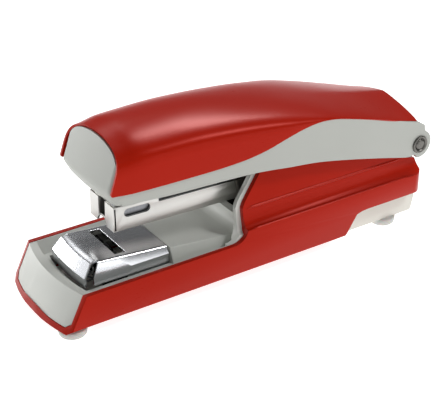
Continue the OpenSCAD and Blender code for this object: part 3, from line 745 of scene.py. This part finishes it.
def make_foot(node):
    low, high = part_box(node)
    r, h = (high.x - low.x) / 2, high.z - low.z
    outline = [(0, 0.25 * MM), (r * 0.55, 0.2 * MM), (r * 0.62, 0), (r * 0.82, 0),
               (r * 0.9, 0.15 * MM), (r * 0.95, 0.45 * MM), (r, h * 0.6), (r, h), (0, h)]
    centre = middle(node)
    finish_piece(turn(outline, Vector((centre.x, centre.y, low.z)), (0, 0, 1)), node + "_pad", node)


for node in ("foot_front_left", "foot_front_right", "foot_rear_left", "foot_rear_right"):
    make_foot(node)

# %% Hinge rings and pin
def make_ring(node, side):
    low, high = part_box(node)
    r, t = (high.x - low.x) / 2, high.y - low.y
    outline = [(r * 0.66, 0), (r, 0), (r, t * 0.5), (r * 0.97, t * 0.8), (r * 0.88, t),
               (r * 0.78, t * 0.85), (r * 0.72, t * 0.45), (r * 0.66, t * 0.3)]
    centre = middle(node)
    inner = Vector((centre.x, low.y if side > 0 else high.y, centre.z))
    piece = finish_piece(turn(outline + outline[:1], inner, (0, side, 0)), node + "_turned", node)
    # painted shade: the rings get a darkened chrome so they don't mirror the bright floor
    refinish(piece, "dull_shaded_chrome")


make_ring("hinge_ring_left", 1)
make_ring("hinge_ring_right", -1)


def make_hinge_pin():
    r, reach = 2.0 * MM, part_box("hinge_pin")[1].y
    end = [(0, 0), (r * 0.35, -0.03 * MM), (r * 0.7, -0.18 * MM), (r * 0.9, -0.45 * MM),
           (r, -0.9 * MM)]
    outline = [(a, reach + b) for a, b in end] + [(a, -reach - b) for a, b in reversed(end)]
    piece = finish_piece(turn(outline, Vector((hinge.x, 0, hinge.z)), (0, 1, 0)),
                         "hinge_pin_turned", "hinge_pin")
    # painted shade: the pin's end gets a darkened chrome so it doesn't mirror the bright floor
    refinish(piece, "dull_shaded_chrome")


make_hinge_pin()

# %% [markdown]
# ## Coil springs
# A coil is a small circle of wire carried round an axis while it climbs, which is what spin
# does when it is given a rise as well as an angle. The springs of the magazine, the table and
# the pusher are drawn at full length, each on a mesh of its own. The handle's spring swings up with
# the open handle, so it is drawn at its pressed length instead.

# %% Coil springs
def coil(radius, wire, length, turns, steps=20):
    sketch = bmesh.new()
    made = bmesh.ops.create_circle(sketch, cap_ends=False, segments=8, radius=wire / 2)
    stand = Matrix.Translation((radius, 0, wire / 2)) @ Matrix.Rotation(math.radians(90), 4, "X")
    bmesh.ops.transform(sketch, matrix=stand, verts=made["verts"])
    rise = (length - wire) / (turns * steps)
    bmesh.ops.spin(sketch, geom=list(sketch.verts) + list(sketch.edges), cent=(0, 0, 0),
                   axis=(0, 0, 1), dvec=(0, 0, rise), angle=math.tau * turns,
                   steps=turns * steps, use_merge=False, use_duplicate=False)
    bmesh.ops.holes_fill(sketch, edges=[e for e in sketch.edges if e.is_boundary], sides=0)
    bmesh.ops.recalc_face_normals(sketch, faces=sketch.faces)
    return sketch


def make_spring(node, turns, wire, lift=0.0):
    """A standing coil that fills the node's box, its lower end raised by lift."""
    low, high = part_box(node)
    radius = (high.x - low.x) / 2 - wire / 2
    sketch = coil(radius, wire, high.z - low.z - lift, turns)
    centre = middle(node)
    bmesh.ops.translate(sketch, vec=(centre.x, centre.y, low.z + lift), verts=sketch.verts)
    return finish_piece(sketch, node + "_coil", node), Vector((centre.x, centre.y, low.z))


for node, turns, wire, joint in (("magazine_spring", 6, 0.8 * MM, "magazine_swing"),
                                 ("table_spring", 5, 0.6 * MM, "clinch_table_dip")):
    piece, foot = make_spring(node, turns, wire)
    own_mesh(piece)
make_spring("handle_spring", 8, 0.6 * MM, 2.2 * MM)


def make_pusher_spring():
    low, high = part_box("pusher_spring")
    gap, inset = 0.1 * MM, 1.9 * MM
    length = (high.x - low.x) / math.cos(rail_tilt) - 2 * gap
    sketch = coil(1.6 * MM, 0.45 * MM, length, turns=18, steps=14)
    lay = Matrix.Rotation(math.radians(90) + rail_tilt, 4, "Y")
    bmesh.ops.transform(sketch, matrix=lay, verts=sketch.verts)
    bmesh.ops.translate(sketch, vec=(low.x + gap, 0, high.z - inset), verts=sketch.verts)
    piece = finish_piece(sketch, "pusher_spring_coil", "pusher_spring")
    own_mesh(piece)


make_pusher_spring()

# %% [markdown]
# ## The strip of staples
# A strip is dozens of wires glued side by side. One staple is a small arch, extruded to the
# wire's width, and copied along the rail with a hair's gap, so the strip shows its ribs.

# %% The strip of staples
def make_strip():
    low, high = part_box("staple_strip")
    half = high.y
    leg, wire, pitch, hair = 6.5 * MM, 0.5 * MM, 0.5 * MM, 0.04 * MM
    count = int((high.x - low.x) / pitch) - 1
    sketch = bmesh.new()
    arch = [(-half, -leg), (-half, 0), (half, 0), (half, -leg), (half - wire, -leg),
            (half - wire, -wire), (-half + wire, -wire), (-half + wire, -leg)]
    face = sketch.faces.new([sketch.verts.new((0, y, z)) for y, z in arch])
    made = bmesh.ops.extrude_face_region(sketch, geom=[face])["geom"]
    bmesh.ops.translate(sketch, vec=(pitch - hair, 0, 0), verts=only_verts(made))
    bmesh.ops.recalc_face_normals(sketch, faces=sketch.faces)
    rounds = [e for e in sketch.edges if abs(abs(e.verts[0].co.y) - half) < 1e-6
              and abs(e.verts[0].co.z) < 1e-6 and abs(e.verts[0].co.y - e.verts[1].co.y) < 1e-6]
    bmesh.ops.bevel(sketch, geom=rounds, offset=0.3 * MM, offset_type="OFFSET", segments=2,
                    profile=0.5, affect="EDGES", material=-1)
    one = list(sketch.verts) + list(sketch.edges) + list(sketch.faces)
    for i in range(1, count):
        made = bmesh.ops.duplicate(sketch, geom=one)["geom"]
        bmesh.ops.translate(sketch, vec=(i * pitch, 0, 0), verts=only_verts(made))
    lay = Matrix.Translation((low.x + 0.2 * MM, 0, high.z)) @ Matrix.Rotation(rail_tilt, 4, "Y")
    bmesh.ops.transform(sketch, matrix=lay, verts=sketch.verts)
    finish_piece(sketch, "staple_strip_wires", "staple_strip", smooth=False)


make_strip()

# %% [markdown]
# ## Floor, light and camera
# The stapler stands on a plain pale floor in a soft studio. The floor glows a little by itself,
# so that it stays white under soft light. Large boxes light the near side, the nose and the
# chrome flaps, small ones from above and behind draw the long highlights on the lacquer, and the
# room adds very little. The camera is a long lens that looks down over the nose's corner, which
# keeps the long sides nearly parallel.

# %% Floor
def make_floor():
    half_side = 40.0
    sketch = bmesh.new()
    bmesh.ops.create_grid(sketch, x_segments=1, y_segments=1, size=half_side)
    mesh = bpy.data.meshes.new("floor")
    sketch.to_mesh(mesh)
    sketch.free()
    floor = bpy.data.objects.new("floor", mesh)
    bpy.context.scene.collection.objects.link(floor)
    paper = Finish("floor_paper", Specular_IOR_Level=0.1, Emission_Color=(1, 1, 1, 1),
                   Emission_Strength=0.88)
    paper.feed("Base Color", paper.blend(paper.noise(3.0), rgb(196, 196, 196), rgb(202, 202, 202)))
    paper.feed("Roughness", 0.7 + 0.1 * paper.noise(60.0))
    mesh.materials.append(paper.material)
    print("floor: %.0f m square" % (2 * half_side))


make_floor()

# %% Light
aim = Vector((0, 0, 0.03))


def soft_box(name, place, width, height, power):
    light = bpy.data.lights.new(name, "AREA")
    light.shape = "RECTANGLE"
    light.size = width
    light.size_y = height
    light.energy = power
    lamp = bpy.data.objects.new(name, light)
    lamp.location = place
    lamp.rotation_euler = (aim - Vector(place)).to_track_quat("-Z", "Y").to_euler()
    bpy.context.scene.collection.objects.link(lamp)
    print("%-12s %.1f W" % (name, power))


soft_box("front_box", (-0.35, -0.95, 0.5), 0.8, 0.6, 1.1)
soft_box("left_box", (-0.78, 0.95, 0.26), 1.2, 0.9, 3.0)
soft_box("grazing_box", (-0.34, 0.7, 0.2), 0.3, 0.3, 3.2)
soft_box("top_box", (0.42, 0.33, 0.75), 0.3, 0.22, 3.6)
soft_box("back_box", (0.25, 0.9, 0.82), 0.3, 0.25, 0.6)
soft_box("shoulder_box", (0.5, -0.5, 0.78), 0.22, 0.18, 3.0)
soft_box("flap_box", (0.55, -0.98, 0.22), 0.8, 0.36, 1.5)
world = bpy.data.worlds.new("studio")
world.use_nodes = True
room = world.node_tree.nodes["Background"]
room.inputs["Color"].default_value = (1, 1, 1, 1)
room.inputs["Strength"].default_value = 0.13
bpy.context.scene.world = world
bpy.context.scene.view_settings.view_transform = "Standard"

# %% Camera
def make_camera():
    azimuth, elevation, roll = math.radians(-33.256), math.radians(28.255), math.radians(-0.28)
    target, distance = Vector((-2.45, 0.06, 20.09)) * MM, 379.26 * MM
    back = Vector((math.sin(azimuth) * math.cos(elevation),
                   -math.cos(azimuth) * math.cos(elevation), math.sin(elevation)))
    lens = bpy.data.cameras.new("camera")
    lens.sensor_width = 36.0
    lens.lens = 94.56
    lens.clip_start = 0.01
    camera = bpy.data.objects.new("camera", lens)
    facing = back.to_track_quat("Z", "Y").to_matrix() @ Matrix.Rotation(roll, 3, "Z")
    camera.matrix_world = Matrix.Translation(target + back * distance) @ facing.to_4x4()
    bpy.context.scene.collection.objects.link(camera)
    bpy.context.scene.camera = camera
    print("camera: %.0f mm away, %.0f mm lens" % (distance / MM, lens.lens))


make_camera()
